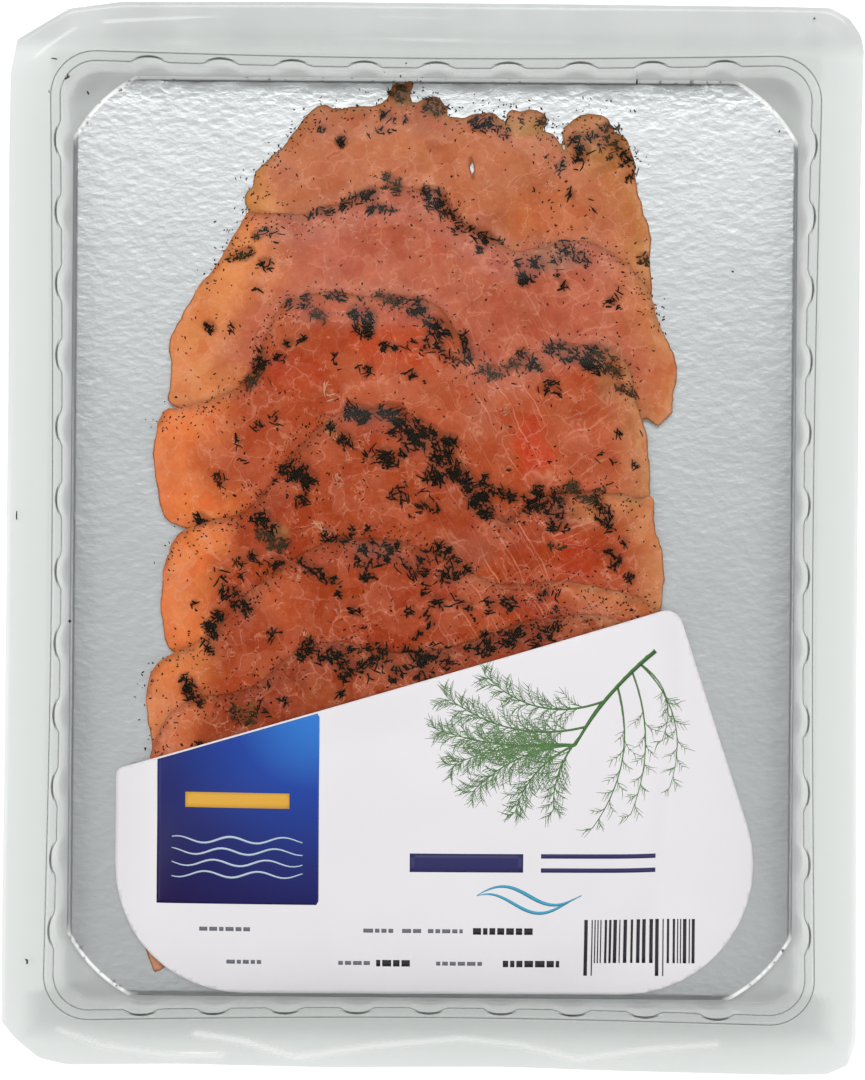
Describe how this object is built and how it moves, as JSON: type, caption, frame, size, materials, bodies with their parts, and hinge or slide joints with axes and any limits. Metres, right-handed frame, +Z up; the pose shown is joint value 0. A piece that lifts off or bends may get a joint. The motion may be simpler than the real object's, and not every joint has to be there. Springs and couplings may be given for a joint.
{
  "type": "pack of gravlax",
  "caption": "Flat clear tray sealed with film over a silvered board and overlapping thin slices of herbed cured fish, with a printed label on the film.",
  "frame": {"origin": "centre of the flat underside of the tray", "axes": "+Z up, out of the sealed side; +Y along the pack towards its upper end, away from the label; +X to the right as the label is read"},
  "size_m": [0.19, 0.2376, 0.0125],
  "materials": {
    "tray": "clear, glossy, faintly grey-green",
    "board": "embossed silver foil on thin board",
    "fish": "moist cured fish, orange-pink, with browned herbed edges",
    "film": "clear thin film",
    "label": "smooth white printed label"
  },
  "bodies": {
    "root": {"tray": "tray", "board": "board", "slice_1": "fish", "slice_2": "fish", "slice_3": "fish", "slice_4": "fish", "slice_5": "fish", "slice_6": "fish", "slice_7": "fish", "film": "film", "label": "label"}
  },
  "joints": []
}
